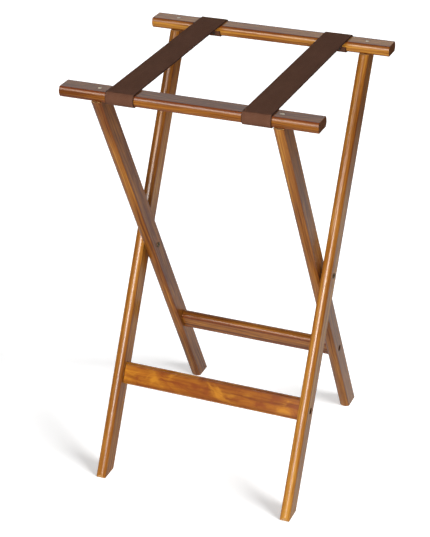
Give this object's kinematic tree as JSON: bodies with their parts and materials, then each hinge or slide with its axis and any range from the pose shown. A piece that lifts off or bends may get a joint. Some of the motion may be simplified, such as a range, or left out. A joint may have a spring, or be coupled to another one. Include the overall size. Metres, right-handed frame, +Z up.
{
  "type": "folding luggage rack",
  "caption": "Tall folding wooden stand: two bar frames crossed on side pivots, with webbing straps between the top rails that stop it opening further.",
  "frame": {"origin": "on the floor, at the middle of the footprint", "axes": "+Z up, +Y from the front rail to the back rail, +X along the rails to the right as seen from the front"},
  "size_m": [0.47, 0.4528, 0.7893],
  "materials": {
    "varnished_wood": "clear gloss varnish over stained hardwood",
    "brown_webbing": "close woven dark brown webbing",
    "bright_steel": "pale yellow zinc plate",
    "dark_steel": "black oxide",
    "antique_brass": "dull dark plate",
    "black_nylon": "matte"
  },
  "bodies": {
    "outer_frame": {"outer_left_leg": "varnished_wood", "outer_right_leg": "varnished_wood", "back_top_rail": "varnished_wood", "front_stretcher": "varnished_wood", "back_rail_screw_left": "bright_steel", "back_rail_screw_right": "bright_steel", "front_stretcher_screw_left": "dark_steel", "front_stretcher_screw_right": "dark_steel", "pivot_screw_left": "antique_brass", "pivot_barrel_nut_left": "antique_brass", "pivot_spacer_left": "black_nylon", "pivot_screw_right": "antique_brass", "pivot_barrel_nut_right": "antique_brass", "pivot_spacer_right": "black_nylon", "left_strap_back_wrap": "brown_webbing", "right_strap_back_wrap": "brown_webbing", "left_strap_back_tack_1": "dark_steel", "left_strap_back_tack_2": "dark_steel", "right_strap_back_tack_1": "dark_steel", "right_strap_back_tack_2": "dark_steel"},
    "inner_frame": {"inner_left_leg": "varnished_wood", "inner_right_leg": "varnished_wood", "front_top_rail": "varnished_wood", "rear_stretcher": "varnished_wood", "front_rail_screw_left": "bright_steel", "front_rail_screw_right": "bright_steel", "rear_stretcher_screw_left": "dark_steel", "rear_stretcher_screw_right": "dark_steel", "left_strap_front_wrap": "brown_webbing", "right_strap_front_wrap": "brown_webbing", "left_strap_front_tack_1": "dark_steel", "left_strap_front_tack_2": "dark_steel", "right_strap_front_tack_1": "dark_steel", "right_strap_front_tack_2": "dark_steel"},
    "strap_front_spans": {"left_strap_front_span": "brown_webbing", "right_strap_front_span": "brown_webbing"},
    "strap_back_spans": {"left_strap_back_span": "brown_webbing", "right_strap_back_span": "brown_webbing"}
  },
  "joints": [
    {"name": "fold", "type": "hinge", "parent": "outer_frame", "child": "inner_frame", "pos_m": [0, 0, 0.3994], "axis": [-1, 0, 0], "range_deg": [0, 46]},
    {"name": "front_strap_fold", "type": "hinge", "parent": "inner_frame", "child": "strap_front_spans", "pos_m": [0, -0.1712, 0.7873], "axis": [-1, 0, 0], "range_deg": [0, 66], "deforming": ["left_strap_front_span", "right_strap_front_span"]},
    {"name": "back_strap_fold", "type": "hinge", "parent": "outer_frame", "child": "strap_back_spans", "pos_m": [0, 0.1712, 0.7873], "axis": [1, 0, 0], "range_deg": [0, 66], "deforming": ["left_strap_back_span", "right_strap_back_span"]}
  ],
  "couplings": [
    {"joint": "front_strap_fold", "follows": "fold", "ratio": 1.4283},
    {"joint": "back_strap_fold", "follows": "fold", "ratio": 1.4283}
  ]
}
